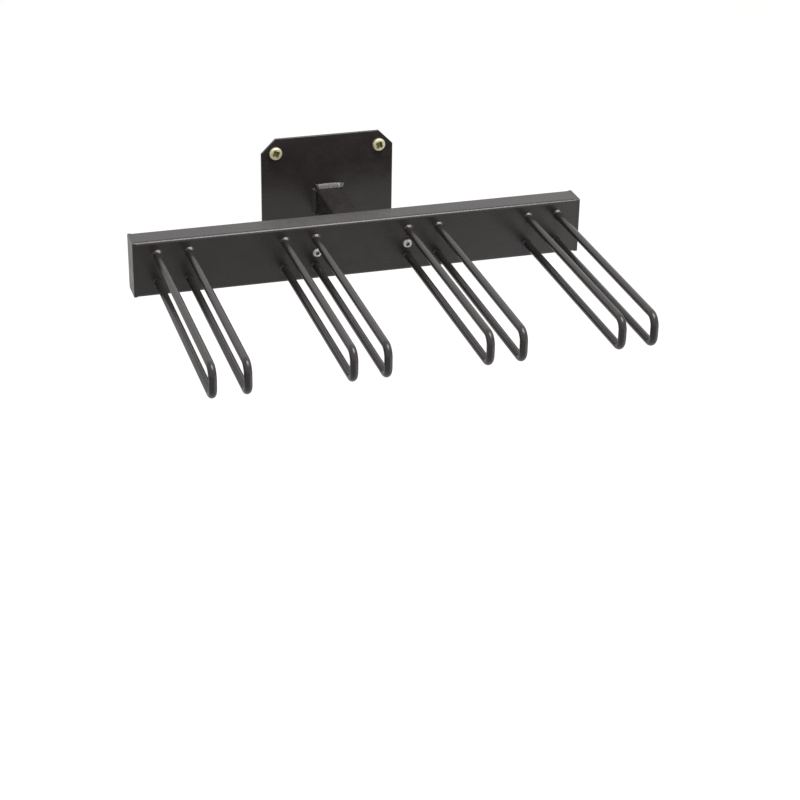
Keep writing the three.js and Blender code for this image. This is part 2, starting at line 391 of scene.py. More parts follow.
def piece_of(bm: BMesh, name: str, at: Vector, lie: Lie,
             crease: float = math.radians(40)) -> Object:
    """Turns a mesh into a finished piece, with its place in its mesh.

    Args:
        bm: Closed mesh in the piece's own axes. It is freed.
        name: Name of the piece.
        at: Where the mesh's origin goes, in the piece's own axes.
        lie: How the piece lies in the rack.
        crease: Angle above which an edge shades as sharp.

    Returns:
        The piece.
    """
    bmesh.ops.transform(bm, matrix=lie.value @ Matrix.Translation(at), verts=bm.verts)
    item = loose_object(bm, name)
    item.data.shade_smooth()
    item.data.set_sharp_from_angle(angle=crease)
    normals = item.modifiers.new("flat faces shade flat", "WEIGHTED_NORMAL")
    normals.keep_sharp = True
    return item


# Welds

@dataclass(frozen=True)
class Outline:
    """Closed line that a weld runs round: a rectangle with round corners, or a circle.

    Attributes:
        flat_x: Half the straight stretch along X.
        flat_y: Half the straight stretch along Y.
        radius: Radius of the corners.
    """

    flat_x: float
    flat_y: float
    radius: float

    @property
    def corner(self) -> float:
        """Length of one corner's arc."""
        return self.radius * QUARTER_TURN

    @property
    def length(self) -> float:
        """Length of the whole line."""
        return 4 * (self.flat_x + self.flat_y + self.corner)

    def at(self, distance: float) -> tuple[Vector, Vector]:
        """Walks along the line, from the middle of the right side and anticlockwise.

        Args:
            distance: How far to walk.

        Returns:
            The point there and the direction away from the middle.
        """
        quarter = self.length / 4
        turn = int(distance // quarter) % 4
        left = distance % quarter
        first, second = ((self.flat_y, self.flat_x), (self.flat_x, self.flat_y))[turn % 2]
        angle = min(max(left - first, 0.0) / self.radius, QUARTER_TURN)
        away = Vector((math.cos(angle), math.sin(angle)))
        point = Vector((second, first)) + self.radius * away
        if left < first:
            point.y = left
        elif left > first + self.corner:
            point.x = second - (left - first - self.corner)
        spin = Matrix.Rotation(turn * QUARTER_TURN, 2)
        return spin @ point, spin @ away


@dataclass(frozen=True)
class Bead:
    """Fillet weld, laid in overlapping ripples by hand.

    Attributes:
        foot: Width of the weld on the face that it sits on.
        climb: How far it climbs the piece that it runs round.
        ripple_pitch: Distance from one ripple to the next.
        ripple_height: Height of a ripple.
        unevenness: How far foot and climb wander.
        bulge: How far the middle of the face stands out, as a share of the foot.
        lean: How much heavier the weld is on one side than on the other, as a share of the foot.
        lean_angle: Angle of the heavy side about the Z axis.
        corner_gap: How much of the weld goes missing where two straight runs meet, as a share.
        lump: How much a run swells towards its ends, as a share.
        run_end: Where in a corner a run ends: 0 is where the corner starts, 1 its middle.
        corner_radius: Radius of the corner at the top right, which is welded right round and
            square. 0 for no such corner.
        corner_cut: How much of that corner's tip is missing, as a share.
        overshoot: How far the top run goes past that corner.
        toe: How much the face flattens towards the joined piece. 1 for not at all.
        dabs: Number of dabs that a round weld is laid in. The heavy side falls between two.
        dab_share: How much each dab stands out, as a share.
        ripple_bow: How far a ripple bows along the weld, as a share of the pitch.
        wander_length: Distance over which foot and climb wander, as a share of the foot.
        sink: How far the weld is fused into the two faces.
        around: Steps along the weld.
        face_steps: Steps across its open face.
        back_steps: Steps down its back, and out along its foot.
    """

    foot: float
    climb: float
    ripple_pitch: float
    ripple_height: float
    unevenness: float
    bulge: float
    lean: float
    lean_angle: float
    corner_gap: float = 0.0
    lump: float = 0.0
    run_end: float = 0.3
    corner_radius: float = 0.0
    corner_cut: float = 0.15
    overshoot: float = 0.0
    toe: float = 1.0
    dabs: int = 0
    dab_share: float = 0.0
    ripple_bow: float = 0.3
    wander_length: float = 2.5
    sink: float = 0.25 * MM
    around: int = 96
    face_steps: int = 10
    back_steps: int = 3

    def section_at(self, step: int) -> tuple[float, float, float]:
        """Walks round the weld's section: over its open face, down its back and out along its foot.

        Args:
            step: Number of steps walked.

        Returns:
            Distance out from the joined piece as a share of the foot, height above the seat as a
            share of the climb, and how much of a ripple shows there.
        """
        if step <= self.face_steps:
            walk = step / self.face_steps
            crown = math.sin(walk * math.pi)
            sag = self.bulge * crown
            return (1 - walk) ** self.toe + sag, walk + sag, crown
        walk = (step - self.face_steps) / self.back_steps
        return max(0.0, walk - 1), max(0.0, 1 - walk), 0.0

    def in_whole_corner(self, away: Vector) -> bool:
        """Tells whether a place lies in the corner that is welded right round."""
        return self.corner_radius > 0 and away.x > 0 and away.y > 0

    def stretch(self, away: Vector) -> tuple[float, Vector]:
        """Squares off the corner that is welded right round.

        Args:
            away: Direction of the place, away from the middle.

        Returns:
            How much farther out the weld lies there, as a factor, and a shift.
        """
        if not self.in_whole_corner(away):
            return 1.0, Vector((0, 0))
        low, high = sorted((away.x, away.y))
        share = low / high
        return 1 / high - self.corner_cut * share ** 3, Vector((self.overshoot * share, 0))

    def fullness(self, away: Vector) -> float:
        """Finds how full the weld is at one place.

        Args:
            away: Direction there, away from the middle.

        Returns:
            A factor for foot and climb.
        """
        angle = math.atan2(away.y, away.x)
        turn = angle - self.lean_angle
        full = 1 + self.lean * math.cos(turn) - self.dab_share * math.cos(self.dabs * turn)
        if self.in_whole_corner(away):
            return full
        corner = abs((angle / QUARTER_TURN + 0.5) % 1 - 0.5) * 2
        full += self.lump * min(1.0, corner / self.run_end) ** 2
        fall = max(0.0, corner - self.run_end) / (1 - self.run_end)
        return full - self.corner_gap * fall * fall * (3 - 2 * fall)

    def build(self, outline: Outline, seed: float) -> BMesh:
        """Lays the weld round an outline that stands on the plane where Z is zero.

        Args:
            outline: Line where the two joined faces meet.
            seed: Number that makes this weld's ripples its own.

        Returns:
            A closed mesh.
        """
        across = self.face_steps + 2 * self.back_steps
        ripples = round(outline.length / self.ripple_pitch)
        bm = bmesh.new()
        bmesh.ops.create_grid(bm, x_segments=self.around, y_segments=across, size=0.5)
        for vert in bm.verts:
            along = round((vert.co.x + 0.5) * self.around) % self.around / self.around
            out, up, open_face = self.section_at(round((vert.co.y + 0.5) * across) % across)
            point, away = outline.at(along * outline.length)
            where = Vector((*point / (self.wander_length * self.foot), seed))
            full = self.fullness(away)
            wander = self.sink + self.unevenness * noise.noise(where)
            phase = FULL_TURN * (ripples * along + self.ripple_bow * open_face)
            ridge = self.ripple_height * open_face * (0.5 + 0.5 * math.cos(phase))
            ring = out * (self.foot * full + wander) - self.sink + ridge
            height = up * (self.climb * full + wander) - self.sink + ridge
            factor, shift = self.stretch(away)
            ring = ring * factor + self.corner_radius * (factor - 1)
            vert.co = (*(point + away * ring + shift), height)
        bmesh.ops.remove_doubles(bm, verts=bm.verts, dist=5 * MERGE)
        return bm


# Node trees

class Sheet:
    """Adds nodes to one node tree and joins them by socket name.

    Attributes:
        spacing: Distance from one node to the next.
    """

    spacing = 220

    def __init__(self, tree: NodeTree) -> None:
        """Takes a tree and empties it."""
        self.tree = tree
        self.tree.nodes.clear()

    @classmethod
    def for_material(cls, material: Material) -> "Sheet":
        """Opens the sheet of a new material."""
        material.use_nodes = True
        return cls(material.node_tree)

    def node(self, kind: str, inputs: Inputs | None = None, **settings: object) -> Node:
        """Adds a node.

        Args:
            kind: The node's class name.
            inputs: What goes in each input, by socket name or number: a value or a socket.
            **settings: The node's own settings.

        Returns:
            The node.
        """
        made = self.tree.nodes.new(kind)
        made.location = (self.spacing * len(self.tree.nodes), 0)
        for name, value in settings.items():
            setattr(made, name, value)
        for name, value in (inputs or {}).items():
            if isinstance(value, NodeSocket):
                self.tree.links.new(value, made.inputs[name])
            else:
                made.inputs[name].default_value = value
        return made

    def math(self, operation: str, *values: float | NodeSocket) -> NodeSocket:
        """Adds a math node and gives its value."""
        inputs = dict(enumerate(values))
        return self.node("ShaderNodeMath", inputs, operation=operation).outputs["Value"]

    def noise(self, vector: NodeSocket, scale: float | NodeSocket, detail: float) -> NodeSocket:
        """Adds a noise texture and gives its value."""
        inputs = {"Vector": vector, "Scale": scale, "Detail": detail}
        return self.node("ShaderNodeTexNoise", inputs).outputs["Fac"]

    def spread(self, value: NodeSocket, source: Span, target: Span = (0.0, 1.0)) -> NodeSocket:
        """Maps one range of numbers onto another, clamped, and gives the result."""
        inputs = {"Value": value, "From Min": source[0], "From Max": source[1],
                  "To Min": target[0], "To Max": target[1]}
        return self.node("ShaderNodeMapRange", inputs).outputs["Result"]

    def mottle(self, vector: NodeSocket, scale: float | NodeSocket, detail: float,
               source: Span = NOISE_MIDDLE, target: Span = (0.0, 1.0)) -> NodeSocket:
        """Adds a noise texture and maps a range of its values onto another range."""
        return self.spread(self.noise(vector, scale, detail), source, target)

    def blend(self, share: NodeSocket, first: Colour | NodeSocket,
              second: Colour | NodeSocket) -> NodeSocket:
        """Mixes two colours.

        Args:
            share: Share of the second colour.
            first: First colour.
            second: Second colour.

        Returns:
            The mix.
        """
        inputs: Inputs = {"Factor": share}
        for number, colour in ((6, first), (7, second)):
            inputs[number] = colour if isinstance(colour, NodeSocket) else (*colour, 1.0)
        return self.node("ShaderNodeMix", inputs, data_type="RGBA").outputs[2]

    def bump(self, height: NodeSocket, depth: float) -> NodeSocket:
        """Adds a bump of a given depth and gives its normal."""
        inputs = {"Height": height, "Distance": depth, "Strength": 1.0}
        return self.node("ShaderNodeBump", inputs).outputs["Normal"]

    def cover(self, inputs: Inputs) -> None:
        """Adds the shader and joins it to the material's output."""
        shader = self.node("ShaderNodeBsdfPrincipled", inputs)
        self.node("ShaderNodeOutputMaterial", {"Surface": shader.outputs["BSDF"]})


class Effect(ABC):
    """A surface effect, kept as one node group that any finish can use.

    Attributes:
        name: Name of the group.
        numbers: Its inputs beside the vector.
        result: Name and type of its output.
    """

    name: str
    numbers: tuple[str, ...]
    result: tuple[str, str] = ("Mask", "NodeSocketFloat")

    def group(self) -> NodeTree:
        """Builds the node group once.

        Returns:
            The group, with a Vector input, the named numbers and one output.
        """
        if self.name in bpy.data.node_groups:
            return bpy.data.node_groups[self.name]
        tree = bpy.data.node_groups.new(self.name, "ShaderNodeTree")
        tree.interface.new_socket("Vector", in_out="INPUT", socket_type="NodeSocketVector")
        for number in self.numbers:
            tree.interface.new_socket(number, in_out="INPUT", socket_type="NodeSocketFloat")
        label, kind = self.result
        tree.interface.new_socket(label, in_out="OUTPUT", socket_type=kind)
        sheet = Sheet(tree)
        # The last output is the blank one that Blender keeps for new links.
        entries = sheet.node("NodeGroupInput").outputs[:-1]
        sheet.node("NodeGroupOutput", {label: self.draw(sheet, *entries)})
        return tree

    @abstractmethod
    def draw(self, sheet: Sheet, place: NodeSocket, *numbers: NodeSocket) -> NodeSocket:
        """Adds the effect's nodes.

        Args:
            sheet: Sheet that gets them.
            place: Coordinates that the effect follows.
            *numbers: The group's other inputs.

        Returns:
            The socket that holds the result.
        """

    def use(self, sheet: Sheet, vector: NodeSocket, *numbers: float) -> NodeSocket:
        """Places the group in a material.

        Args:
            sheet: The material's sheet.
            vector: Coordinates that the effect follows.
            *numbers: Value of each of the group's other inputs.

        Returns:
            The effect's result.
        """
        inputs = {"Vector": vector, **dict(zip(self.numbers, numbers, strict=True))}
        placed = sheet.node("ShaderNodeGroup", inputs, node_tree=self.group())
        return placed.outputs[self.result[0]]


class OrangePeel(Effect):
    """Shallow pebbled skin that powder coat has when it has flowed and set."""

    name = "orange_peel"
    numbers = ("Cell",)
    result = ("Height", "NodeSocketFloat")
    grain_fineness = 3.0
    grain_share = 0.35

    def draw(self, sheet: Sheet, place: NodeSocket, cell: NodeSocket) -> NodeSocket:
        """Mixes soft cells with a finer grain.

        Args:
            sheet: Sheet that gets the nodes.
            place: Coordinates that the skin follows.
            cell: Size of a cell.

        Returns:
            Height of the skin.
        """
        scale = sheet.math("DIVIDE", 1.0, cell)
        cells = sheet.node("ShaderNodeTexVoronoi",
                           {"Vector": place, "Scale": scale, "Smoothness": 1.0},
                           feature="SMOOTH_F1").outputs["Distance"]
        fine_scale = sheet.math("MULTIPLY", scale, self.grain_fineness)
        grain = sheet.noise(place, fine_scale, 2.0)
        return sheet.math("MULTIPLY_ADD", grain, self.grain_share, cells)


class Dust(Effect):
    """Fine dust that settles on what faces up."""

    name = "settled_dust"
    numbers = ("Patch", "Amount")
    facing_up = (0.35, 0.95)
    patch_noise = (0.4, 0.75)
    patch_cover = (0.15, 1.0)

    def draw(self, sheet: Sheet, place: NodeSocket, patch: NodeSocket,
             amount: NodeSocket) -> NodeSocket:
        """Masks the upper faces and breaks them into patches.

        Args:
            sheet: Sheet that gets the nodes.
            place: Coordinates that the patches follow.
            patch: Size of a patch.
            amount: Cover where the dust is thickest.

        Returns:
            The dust's cover.
        """
        normal = sheet.node("ShaderNodeNewGeometry").outputs["Normal"]
        upward = sheet.node("ShaderNodeSeparateXYZ", {0: normal}).outputs["Z"]
        level = sheet.spread(upward, self.facing_up)
        scale = sheet.math("DIVIDE", 1.0, patch)
        patches = sheet.mottle(place, scale, 6.0, self.patch_noise, self.patch_cover)
        cover = sheet.math("MULTIPLY", level, patches)
        return sheet.math("MULTIPLY", cover, amount)


class EdgeWear(Effect):
    """Places along the edges where handling has thinned or rubbed the surface."""

    name = "edge_wear"
    numbers = ("Width", "Amount")
    lean_at_edge = (0.995, 0.9)
    break_scale = 260.0
    break_noise = (0.45, 0.7)

    def draw(self, sheet: Sheet, place: NodeSocket, width: NodeSocket,
             amount: NodeSocket) -> NodeSocket:
        """Finds edges by how far a rounded normal leans from the true one.

        Args:
            sheet: Sheet that gets the nodes.
            place: Coordinates that the breaks follow.
            width: Width of a worn edge.
            amount: Share that is gone at most.

        Returns:
            Mask of the worn places.
        """
        rounded = sheet.node("ShaderNodeBevel", {"Radius": width}, samples=6)
        true = sheet.node("ShaderNodeNewGeometry").outputs["Normal"]
        lean = sheet.node("ShaderNodeVectorMath", {0: rounded.outputs["Normal"], 1: true},
                          operation="DOT_PRODUCT").outputs["Value"]
        edge = sheet.spread(lean, self.lean_at_edge)
        broken = sheet.mottle(place, self.break_scale, 4.0, self.break_noise)
        return sheet.math("MULTIPLY", sheet.math("MULTIPLY", edge, broken), amount)


class Scuffs(Effect):
    """Hair-thin marks that handling leaves, mostly along one direction."""

    name = "scuffs"
    numbers = ("Spacing", "Amount")
    direction = (0.3, 0.5, 0.9)
    squeeze = (1.0, 0.06, 1.0)
    streak_noise = (0.62, 0.7)

    def draw(self, sheet: Sheet, place: NodeSocket, spacing: NodeSocket,
             amount: NodeSocket) -> NodeSocket:
        """Stretches noise into streaks and keeps the thinnest of them.

        Args:
            sheet: Sheet that gets the nodes.
            place: Coordinates that the streaks follow.
            spacing: Distance between streaks.
            amount: Strength of a streak.

        Returns:
            Mask of the streaks.
        """
        stretched = sheet.node("ShaderNodeMapping",
                               {"Vector": place, "Rotation": self.direction,
                                "Scale": self.squeeze}).outputs["Vector"]
        scale = sheet.math("DIVIDE", 1.0, spacing)
        streaks = sheet.mottle(stretched, scale, 5.0, self.streak_noise)
        return sheet.math("MULTIPLY", streaks, amount)


class RecessShade(Effect):
    """Painted shade in recesses: what a piece closes in is darkened, in place of the light that is lost
    there.
    """

    name = "painted_recess_shade"
    numbers = ("Reach", "Amount")
    openness = (0.95, 0.74)

    def draw(self, sheet: Sheet, place: NodeSocket, reach: NodeSocket,
             amount: NodeSocket) -> NodeSocket:
        """Masks what the piece itself closes in.

        Args:
            sheet: Sheet that gets the nodes.
            place: Not used, since a recess has no pattern.
            reach: Distance over which a recess counts as closed in.
            amount: Strength of the mask.

        Returns:
            Mask of the recesses.
        """
        # Painted shade: how closed in a place is becomes a mask that darkens it.
        open_share = sheet.node("ShaderNodeAmbientOcclusion", {"Distance": reach}, samples=8,
                                only_local=True).outputs["AO"]
        return sheet.math("MULTIPLY", sheet.spread(open_share, self.openness), amount)


class PassivateTint(Effect):
    """Pale film of a passivated plating, which shifts from straw to green and rose."""

    name = "passivate_tint"
    numbers = ("Patch",)
    result = ("Colour", "NodeSocketColor")
    film = ((0.3, (0.80, 0.76, 0.50)), (0.45, (0.86, 0.80, 0.58)), (0.58, (0.88, 0.78, 0.50)),
            (0.72, (0.86, 0.72, 0.52)))

    def draw(self, sheet: Sheet, place: NodeSocket, patch: NodeSocket) -> NodeSocket:
        """Runs patchy noise through the film's colours.

        Args:
            sheet: Sheet that gets the nodes.
            place: Coordinates that the patches follow.
            patch: Size of a patch.

        Returns:
            The film's colour.
        """
        patches = sheet.noise(place, sheet.math("DIVIDE", 1.0, patch), 3.0)
        ramp = sheet.node("ShaderNodeValToRGB", {"Fac": patches})
        stops = ramp.color_ramp.elements
        while len(stops) < len(self.film):
            stops.new(1.0)
        for stop, (position, colour) in zip(stops, self.film):
            stop.position = position
            stop.color = (*colour, 1.0)
        return ramp.outputs["Color"]


# Finishes

@dataclass(frozen=True)
class PowderCoat:
    """Satin black powder coat on steel. Scales are in waves to the metre.

    Attributes:
        deep: Colour where the coat is full.
        pale: Colour where it is a little thinner.
        dust: Colour of the dust on it.
        dust_patch: Size of a patch of dust.
        dust_amount: Share of the coat that dust covers at most.
        primer: Colour at its rubbed edges.
        wear_width: Width of a rubbed edge.
        wear_amount: Share of the edge's coat that is gone at most.
        roughness: Least and greatest roughness of the clean coat.
        specular: Strength of its reflection.
        tone_scale: Scale of the change from deep to pale.
        tone_noise: Noise values where that change starts and ends.
        grain_scale: Scale of the change in roughness.
        peel_cell: Size of the orange peel's cells.
        peel_depth: Height of the orange peel.
    """

    deep: Colour = (0.0225, 0.0176, 0.0178)
    pale: Colour = (0.0270, 0.0215, 0.0213)
    dust: Colour = (0.30, 0.29, 0.27)
    dust_patch: float = 9 * MM
    dust_amount: float = 0.02
    primer: Colour = (0.11, 0.11, 0.115)
    wear_width: float = 0.7 * MM
    wear_amount: float = 0.35
    roughness: Span = (0.22, 0.30)
    specular: float = 0.46
    tone_scale: float = 45.0
    tone_noise: Span = (0.35, 0.65)
    grain_scale: float = 120.0
    peel_cell: float = 1.3 * MM
    peel_depth: float = 0.005 * MM

    def build(self) -> Material:
        """Makes the material.

        Returns:
            The material.
        """
        material = bpy.data.materials.new("black powder coat")
        sheet = Sheet.for_material(material)
        place = sheet.node("ShaderNodeTexCoord").outputs["Object"]
        tone = sheet.mottle(place, self.tone_scale, 3.0, self.tone_noise)
        colour = sheet.blend(tone, self.deep, self.pale)
        dusty = Dust().use(sheet, place, self.dust_patch, self.dust_amount)
        colour = sheet.blend(dusty, colour, self.dust)
        worn = EdgeWear().use(sheet, place, self.wear_width, self.wear_amount)
        colour = sheet.blend(worn, colour, self.primer)
        grain = sheet.mottle(place, self.grain_scale, 4.0, target=self.roughness)
        peel = OrangePeel().use(sheet, place, self.peel_cell)
        sheet.cover({"Base Color": colour, "Roughness": sheet.math("ADD", grain, dusty),
                     "Metallic": 0.0, "Specular IOR Level": self.specular,
                     "Normal": sheet.bump(peel, self.peel_depth)})
        return material


@dataclass(frozen=True)
class ZincPlate:
    """Zinc plating on steel. Scales are in waves to the metre.

    Attributes:
        name: Name of the material.
        tint: Colour that the passivate film is drawn to.
        tint_share: How much of that colour shows.
        recess_shade: Colour of the painted shade in the recess of a head, in place of the light that
            the recess loses.
        worn: Colour where a driver or a spanner has rubbed the film off.
        film_patch: Size of a patch of the film's colours.
        drift: How far the share of the tint drifts.
        drift_scale: Scale of that drift.
        wear_width: Width of a rubbed edge.
        wear_amount: Share of the edge's film that is gone at most.
        recess_reach: Distance over which a recess counts as closed in.
        recess_amount: How much of the painted shade shows in a recess.
        recess_roughness: Roughness that is added where the recess is shaded.
        roughness: Least and greatest roughness.
        grain_scale: Scale of the change in roughness.
        scuff_spacing: Distance between scuffs.
        scuff_amount: Roughness that a scuff adds.
        pit_scale: Scale of the plating's pits.
        pit_depth: Depth of the pits.
    """

    name: str
    tint: Colour
    tint_share: float
    recess_shade: Colour
    worn: Colour = (0.62, 0.61, 0.58)
    film_patch: float = 5 * MM
    drift: float = 0.1
    drift_scale: float = 380.0
    wear_width: float = 0.25 * MM
    wear_amount: float = 0.8
    recess_reach: float = 6 * MM
    recess_amount: float = 0.95
    recess_roughness: float = 0.4
    roughness: Span = (0.50, 0.62)
    grain_scale: float = 900.0
    scuff_spacing: float = 0.8 * MM
    scuff_amount: float = 0.2
    pit_scale: float = 2500.0
    pit_depth: float = 0.004 * MM

    def build(self) -> Material:
        """Makes the material.

        Returns:
            The material.
        """
        material = bpy.data.materials.new(self.name)
        sheet = Sheet.for_material(material)
        place = sheet.node("ShaderNodeTexCoord").outputs["Object"]
        film = PassivateTint().use(sheet, place, self.film_patch)
        shares = (self.tint_share - self.drift, self.tint_share + self.drift)
        drift = sheet.mottle(place, self.drift_scale, 3.0, target=shares)
        colour = sheet.blend(drift, film, self.tint)
        worn = EdgeWear().use(sheet, place, self.wear_width, self.wear_amount)
        colour = sheet.blend(worn, colour, self.worn)
        # Painted shade: recesses turn towards the dark recess colour and become less metallic, in place
        # of the light that they lose.
        shade_mask = RecessShade().use(sheet, place, self.recess_reach, self.recess_amount)
        colour = sheet.blend(shade_mask, colour, self.recess_shade)
        grain = sheet.mottle(place, self.grain_scale, 5.0, target=self.roughness)
        scuffs = Scuffs().use(sheet, place, self.scuff_spacing, self.scuff_amount)
        rough = sheet.math("MULTIPLY_ADD", shade_mask, self.recess_roughness,
                           sheet.math("ADD", grain, scuffs))
        pits = sheet.noise(place, self.pit_scale, 3.0)
        sheet.cover({"Base Color": colour, "Roughness": rough,
                     "Metallic": sheet.math("SUBTRACT", 1.0, shade_mask),
                     "Normal": sheet.bump(pits, self.pit_depth)})
        return material


# Sub-assemblies

@dataclass
class SubAssembly(ABC):
    """Pieces of the rack that are made and dressed together.

    Attributes:
        pieces: The finished pieces, in the order in which they were made.
    """

    pieces: list[Object] = field(default_factory=list, init=False)

    @abstractmethod
    def build(self) -> None:
        """Makes the meshes."""

    def add(self, node: str, bm: BMesh, at: Vector, lie: Lie = Lie.OUT,
            slot: Slot = Slot.BLACK) -> None:
        """Finishes a mesh as the piece that stands for a CAD node.

        Args:
            node: Name of the CAD node.
            bm: Closed mesh in the piece's own axes. It is freed.
            at: Where the mesh's origin goes, in the piece's own axes.
            lie: How the piece lies in the rack.
            slot: The record's material slot.
        """
        suffix = "coated" if slot is Slot.BLACK else "plated"
        piece = piece_of(bm, f"{node}_{suffix}", at, lie)
        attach(piece, "root")
        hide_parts(node)
        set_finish(piece, slot.value)
        self.pieces.append(piece)
        LOG.info("%s: %d faces", piece.name, len(piece.data.polygons))

    def dress(self, finishes: dict[str, Material]) -> None:
        """Gives each piece the finish of its slot.

        Args:
            finishes: Material of each slot's name.
        """
        for piece in self.pieces:
            piece.data.materials.clear()
            piece.data.materials.append(finishes[piece["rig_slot"]])


@dataclass
class WallBracket(SubAssembly):
    """Wall plate, square arm and flange, with a weld at each end of the arm.

    Attributes:
        corner_cut: Size of the plate's clipped corners.
        screw_hole: Radius of the holes for the wall screws.
        bar_hole: Radius of the holes for the bar screws.
        arm_radius: Radius of the arm's corners.
        arm_wall: Thickness of the arm's wall.
        flange_radius: Radius of the flange's corners.
        edge_round: Rounding that the coat gives a cut edge.
        weld: The welds at the two ends of the arm.
    """

    corner_cut: float = 14 * MM
    screw_hole: float = 3.5 * MM
    bar_hole: float = 2.8 * MM
    arm_radius: float = 3 * MM
    arm_wall: float = 2 * MM
    flange_radius: float = 4 * MM
    edge_round: float = 0.45 * MM
    weld: Bead = Bead(foot=3.3 * MM, climb=5.2 * MM, ripple_pitch=1.7 * MM,
                      ripple_height=0.10 * MM, unevenness=0.25 * MM, bulge=0.03,
                      lean=0.12, lean_angle=math.radians(180), corner_gap=0.9, lump=0.15,
                      corner_radius=3 * MM, overshoot=2 * MM, toe=1.4, around=480)

    def build(self) -> None:
        """Makes the five pieces."""
        wall_screws = [f"wall_screw_{number}" for number in range(1, len(WALL_SCREW_TURNS) + 1)]
        bar_screws = [f"bar_screw_{side}" for side in SIDES]
        self.plate("wall_plate", self.corner_cut, wall_screws, self.screw_hole, steps=1)
        arm = Extent.of("arm_tube")
        self.add("arm_tube", hollow_stock(arm, self.arm_radius, self.arm_wall), arm.centre)
        self.plate("arm_flange", self.flange_radius, bar_screws, self.bar_hole, steps=8)
        self.arm_weld("arm_rear_weld", way=1, seed=0.0)
        self.arm_weld("arm_front_weld", way=-1, seed=1.0)

    def plate(self, node: str, corner: float, screws: Iterable[str], hole: float,
              steps: int) -> None:
        """Makes a flat plate that screws pass through, with its edges rounded.

        Args:
            node: CAD node of the plate.
            corner: Size of its corners.
            screws: CAD nodes of the screws.
            hole: Radius of the holes.
            steps: Steps in each corner. With one step the corner is clipped.
        """
        extent = Extent.of(node)
        places = [Extent.of(screw).centre - extent.centre for screw in screws]
        bm = carve(slab(extent, corner, steps),
                   hole_tool(places, hole, -OVERRUN, extent.size.z + OVERRUN))
        soften(bm, self.edge_round)
        self.add(node, bm, extent.foot)

    def arm_weld(self, node: str, way: int, seed: float) -> None:
        """Lays the weld round one end of the arm.

        Args:
            node: CAD node of the weld.
            way: 1 where the weld grows away from the wall, and -1 where it grows towards it.
            seed: Number that makes this weld's ripples its own.
        """
        arm = Extent.of("arm_tube")
        extent = Extent.of(node)
        flat = arm.size.x / 2 - self.arm_radius
        bm = self.weld.build(Outline(flat, flat, self.arm_radius), seed)
        bmesh.ops.scale(bm, vec=(1, 1, way), verts=bm.verts)
        seat = extent.low.z if way > 0 else extent.high.z
        self.add(node, bm, arm.axis + Vector((0, 0, seat)))


@dataclass
class Crossbar(SubAssembly):
    """Rectangular tube that carries the loops, closed by a welded plate at each end.

    Attributes:
        corner_radius: Outer radius of the tube's corners.
        wall: Thickness of the tube's wall.
        rod_hole: Radius of the holes for the rods.
        screw_hole: Radius of the holes for the bar screws.
        end_radius: Radius of the end plates' ground edges.
        end_steps: Steps in each of those edges.
        seam: Rounding on each side of the joint between tube and end plate.
        seam_steps: Steps in that rounding.
    """

    corner_radius: float = 3 * MM
    wall: float = 2 * MM
    rod_hole: float = 3.8 * MM
    screw_hole: float = 2.8 * MM
    end_radius: float = 1.5 * MM
    end_steps: int = 5
    seam: float = 0.12 * MM
    seam_steps: int = 2

    def build(self) -> None:
        """Makes the tube and its two ends."""
        self.tube()
        for side in SIDES:
            node = f"crossbar_end_{side}"
            extent = Extent.of(node, Lie.ALONG)
            bm = slab(extent, self.end_radius, self.end_steps)
            soften(bm, self.seam, self.seam_steps)
            self.add(node, bm, extent.foot, Lie.ALONG)

    def tube(self) -> None:
        """Makes the tube, with holes for the rod legs in its front and for the screws right through."""
        along = Extent.of("crossbar_tube", Lie.ALONG)
        bm = hollow_stock(along, self.corner_radius, self.wall)
        bmesh.ops.transform(bm, matrix=Lie.OUT.value.inverted() @ Lie.ALONG.value, verts=bm.verts)
        out = Extent.of("crossbar_tube")
        front = out.size.z / 2
        rods = [f"rod_weld_{number}_{level}" for number in LOOPS for level in LEVELS]
        screws = [f"bar_screw_{side}" for side in SIDES]
        for nodes, radius, back in ((rods, self.rod_hole, front - self.wall),
                                    (screws, self.screw_hole, -front)):
            places = [Extent.of(node).centre - out.centre for node in nodes]
            bm = carve(bm, hole_tool(places, radius, back - OVERRUN, front + OVERRUN))
        soften(bm, self.seam, self.seam_steps)
        self.add("crossbar_tube", bm, out.centre)


